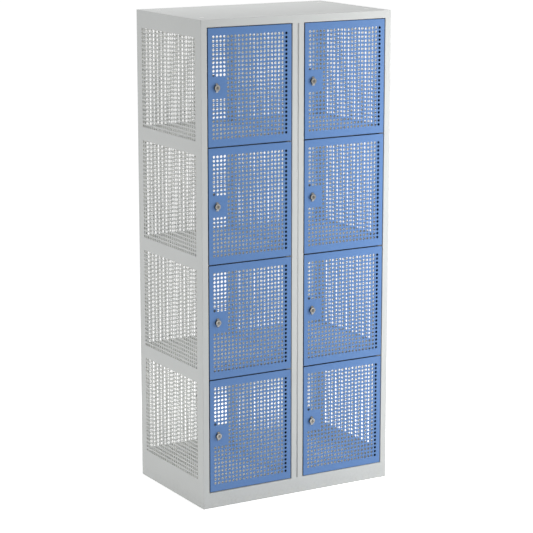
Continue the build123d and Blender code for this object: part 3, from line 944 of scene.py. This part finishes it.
def add_lugs(surface):
    """Adds the bar behind the lock's face: flat front, bevels down to the door, eased edges."""
    steps = [
        (LUG_EDGE, LUG_BEVEL + LUG_EDGE, LUG_DEPTH),
        (LUG_EDGE / 4, LUG_BEVEL, LUG_DEPTH + LUG_EDGE / 4),
        (0.0, LUG_BEVEL - LUG_EDGE, LUG_DEPTH + LUG_EDGE),
        (0.0, LUG_EDGE, LUG_DEPTH + LUG_BEVEL - LUG_EDGE),
        (0.0, 0.0, LUG_DEPTH + LUG_BEVEL + LUG_EDGE / 2),
        (0.0, 0.0, 0.0),
    ]
    loops = [surface.add_points(lug_outline(*step)) for step in steps]
    # Painted dark reflection: the bar's flat front and the sides round its upper end are drawn darker, the
    # lower ones not
    upper = np.arange(LUG_POINTS) < LUG_POINTS // 2 - 1
    surface.add_faces(loops[0][None], bare=PAINTED_SHADE_LUG)
    for first, second in zip(loops, loops[1:]):
        quads = np.stack([first, second, np.roll(second, -1), np.roll(first, -1)], -1)
        surface.add_faces(quads[upper], bare=PAINTED_SHADE_LUG)
        surface.add_faces(quads[~upper])
    surface.add_faces(loops[-1][None, ::-1])


def lock_origin(place):
    """Where the lock's axis meets the door's face."""
    low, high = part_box(f"lock_plug_{place}")
    middle_x, middle_z = middle(low, high)
    return middle_x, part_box(f"door_leaf_{place}")[0].y, middle_z


def add_lock_case(place):
    """Lock case with its lugs and nut, which rides on the door."""
    surface = turned(Surface(), case_profile())
    turned(surface, nut_profile(), smooth=False)
    add_lugs(surface)
    made = surface.object(f"lock_case_turned_{place}", lock_origin(place), UPRIGHT)
    add_piece(made, f"door_{place}", "nickel_lock", f"lock_case_{place}")


def add_lock_plug(place):
    """Lock plug with its tail and head, which turns in the case."""
    surface = turned(Surface(), plug_profile(), smooth=False)
    made = surface.object(f"lock_plug_turned_{place}", lock_origin(place), UPRIGHT)
    add_piece(made, f"lock_{place}", "nickel_lock", f"lock_plug_{place}")


# Roof plugs: depths run down from the top of their heads
CAP_HEAD_RADIUS = 9 * MM
CAP_STEM_RADIUS = 5 * MM
CAP_HEAD_HEIGHT = 1.6 * MM
CAP_LENGTH = 7.6 * MM
CAP_SIDE_INSET = 52 * MM
CAP_FRONT_INSET = 88 * MM
CAP_REAR_INSET = 77 * MM


def add_caps():
    """Four plugs that close the roof's holes, their domes at (radius * sin t, height * (1 - cos t))."""
    low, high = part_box("roof_panel")
    angles = np.arange(1, DOME_STEPS + 1) * math.pi / 2 / DOME_STEPS
    dome = [(CAP_HEAD_RADIUS * math.sin(t), CAP_HEAD_HEIGHT * (1 - math.cos(t))) for t in angles]
    stem = [(CAP_STEM_RADIUS, CAP_HEAD_HEIGHT), (CAP_STEM_RADIUS, CAP_LENGTH), (0.0, CAP_LENGTH)]
    surface = Surface()
    for x in (low.x + CAP_SIDE_INSET, high.x - CAP_SIDE_INSET):
        for y in (low.y + CAP_FRONT_INSET, high.y - CAP_REAR_INSET):
            turned(surface, [(0.0, 0.0), *dome, *stem], centre=(x, y))
    made = surface.object("roof_plugs", (0, 0, high.z + CAP_HEAD_HEIGHT), (X_AXIS, Y_AXIS, -Z_AXIS))
    add_piece(made, "cabinet", "white_plastic", "roof_caps")


add_walls()
add_back()
add_stiles()
add_post()
add_rail_and_plinth()
add_caps()
for side in SIDES:
    for tier in range(1, TIERS + 1):
        add_door(f"{side}_{tier}")
        add_stiffener(f"{side}_{tier}")
        add_lock_case(f"{side}_{tier}")
        add_lock_plug(f"{side}_{tier}")
for subpart in frame["record"]["subparts"]:
    finish_node(subpart["node"], subpart["material_slot"])

# Stage: a floor and a world that look white where they are seen, and light the locker less than that
WHITE = (1.0, 1.0, 1.0, 1.0)
FLOOR_SIZE = 60.0
FLOOR_BOUNCE = (0.76, 0.76, 0.76, 1.0)
FLOOR_SEEN = (1.85, 1.85, 1.85, 1.0)
WORLD_AMBIENT = 0.555
WORLD_SEEN = 1.0

# Soft boxes round the locker: place, target, width and height, power
LAMP_COLOUR = (1.0, 1.0, 1.0)
SOFT_BOXES = {
    "key_low": ((1.25, -1.2, 0.9), (0.45, 0.0, 0.8), (0.6, 1.6), 12.3),
    "key_high": ((1.25, -1.2, 1.62), (0.45, 0.0, 1.5), (0.6, 0.9), 8.8),
    "front": ((-0.4, -4.0, 1.2), (0.0, 0.0, 0.9), (2.0, 1.6), 11.6),
    "left": ((-2.6, 0.4, 0.95), (0.0, 0.0, 0.85), (1.6, 1.7), 12.6),
    "rear": ((0.0, 0.75, 2.5), (0.0, 0.2, 1.8), (1.2, 0.4), 4.6),
}

# Panels behind the doors, above their middles, with powers from the lowest tier up
FILL_COLOUR = (1.0, 0.95, 0.86)
FILL_POWERS = {"left": (0.8, 0.64, 0.62, 0.62), "right": (0.56, 0.5, 0.48, 0.5)}
FILL_SIZE = (0.33, 0.2)
FILL_SETBACK = 30 * MM
FILL_RISE = 85 * MM
FILL_AIM = (0.0, 1.0, 0.15)

# Camera: the photograph's place and angle
CAMERA_PLACE = (-3.859, -6.665, 2.4775)
CAMERA_YAW = math.radians(30.15)
CAMERA_PITCH = math.radians(12.09)
CAMERA_LENS = 140.0


def seen_or_bouncing(tree, bouncing, seen):
    """Mix of two shaders: one for rays from the camera, off gloss and through glass, one for the rest."""
    path = tree.nodes.new("ShaderNodeLightPath")
    factor = path.outputs["Is Camera Ray"]
    for ray in ("Is Glossy Ray", "Is Transmission Ray"):
        either = tree.nodes.new("ShaderNodeMath")
        either.operation = "MAXIMUM"
        tree.links.new(factor, either.inputs[0])
        tree.links.new(path.outputs[ray], either.inputs[1])
        factor = either.outputs["Value"]
    mix = tree.nodes.new("ShaderNodeMixShader")
    tree.links.new(factor, mix.inputs["Fac"])
    tree.links.new(bouncing.outputs[0], mix.inputs[1])
    tree.links.new(seen.outputs[0], mix.inputs[2])
    return mix.outputs["Shader"]


def add_floor():
    """Floor that bounces light like pale paint, and looks white where it is seen, except in shadow."""
    half = FLOOR_SIZE / 2
    corners = [(-half, -half, 0), (half, -half, 0), (half, half, 0), (-half, half, 0)]
    mesh = bpy.data.meshes.new("floor")
    mesh.from_pydata(corners, [], [(0, 1, 2, 3)])
    floor = bpy.data.objects.new("floor", mesh)
    bpy.context.scene.collection.objects.link(floor)
    material = bpy.data.materials.new("floor_paint")
    material.use_nodes = True
    tree = material.node_tree
    tree.nodes.remove(tree.nodes["Principled BSDF"])
    bouncing, seen = (tree.nodes.new("ShaderNodeBsdfDiffuse") for _ in range(2))
    bouncing.inputs["Color"].default_value = FLOOR_BOUNCE
    seen.inputs["Color"].default_value = FLOOR_SEEN
    shader = seen_or_bouncing(tree, bouncing, seen)
    tree.links.new(shader, tree.nodes["Material Output"].inputs["Surface"])
    mesh.materials.append(material)


def add_world():
    """Even ambient light, white where it is seen."""
    world = bpy.data.worlds.new("studio")
    bpy.context.scene.world = world
    world.use_nodes = True
    tree = world.node_tree
    tree.nodes.clear()
    ambient, seen = (tree.nodes.new("ShaderNodeBackground") for _ in range(2))
    output = tree.nodes.new("ShaderNodeOutputWorld")
    for background, strength in ((ambient, WORLD_AMBIENT), (seen, WORLD_SEEN)):
        background.inputs["Color"].default_value = WHITE
        background.inputs["Strength"].default_value = strength
    tree.links.new(seen_or_bouncing(tree, ambient, seen), output.inputs["Surface"])


def add_lamp(name, place, target, size, power, colour=LAMP_COLOUR):
    """Rectangular soft lamp, aimed from its place at its target."""
    light = bpy.data.lights.new(name, "AREA")
    light.shape = "RECTANGLE"
    light.size, light.size_y = size
    light.energy = power
    light.color = colour
    lamp = bpy.data.objects.new(name, light)
    bpy.context.scene.collection.objects.link(lamp)
    lamp.location = place
    lamp.rotation_euler = (Vector(target) - Vector(place)).to_track_quat("-Z", "Y").to_euler()
    lamp.visible_camera = lamp.visible_glossy = lamp.visible_transmission = False


def add_lamps():
    """Soft boxes outside, and behind each door a warm panel that faces the back and a little up."""
    for name, setting in SOFT_BOXES.items():
        add_lamp(name, *setting)
    for side, powers in FILL_POWERS.items():
        for tier, power in enumerate(powers, 1):
            low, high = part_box(f"door_leaf_{side}_{tier}")
            middle_x, middle_z = middle(low, high)
            place = Vector((middle_x, high.y + FILL_SETBACK, middle_z + FILL_RISE))
            target = place + Vector(FILL_AIM)
            add_lamp(f"fill_{side}_{tier}", place, target, FILL_SIZE, power, FILL_COLOUR)


def add_camera():
    """Camera at the photograph's angle, looking a little down."""
    camera = bpy.data.objects.new("camera", bpy.data.cameras.new("camera"))
    bpy.context.scene.collection.objects.link(camera)
    camera.data.lens = CAMERA_LENS
    camera.location = CAMERA_PLACE
    camera.rotation_euler = (math.pi / 2 - CAMERA_PITCH, 0, -CAMERA_YAW)
    bpy.context.scene.camera = camera


add_floor()
add_world()
add_lamps()
add_camera()
bpy.context.scene.view_settings.view_transform = "Standard"
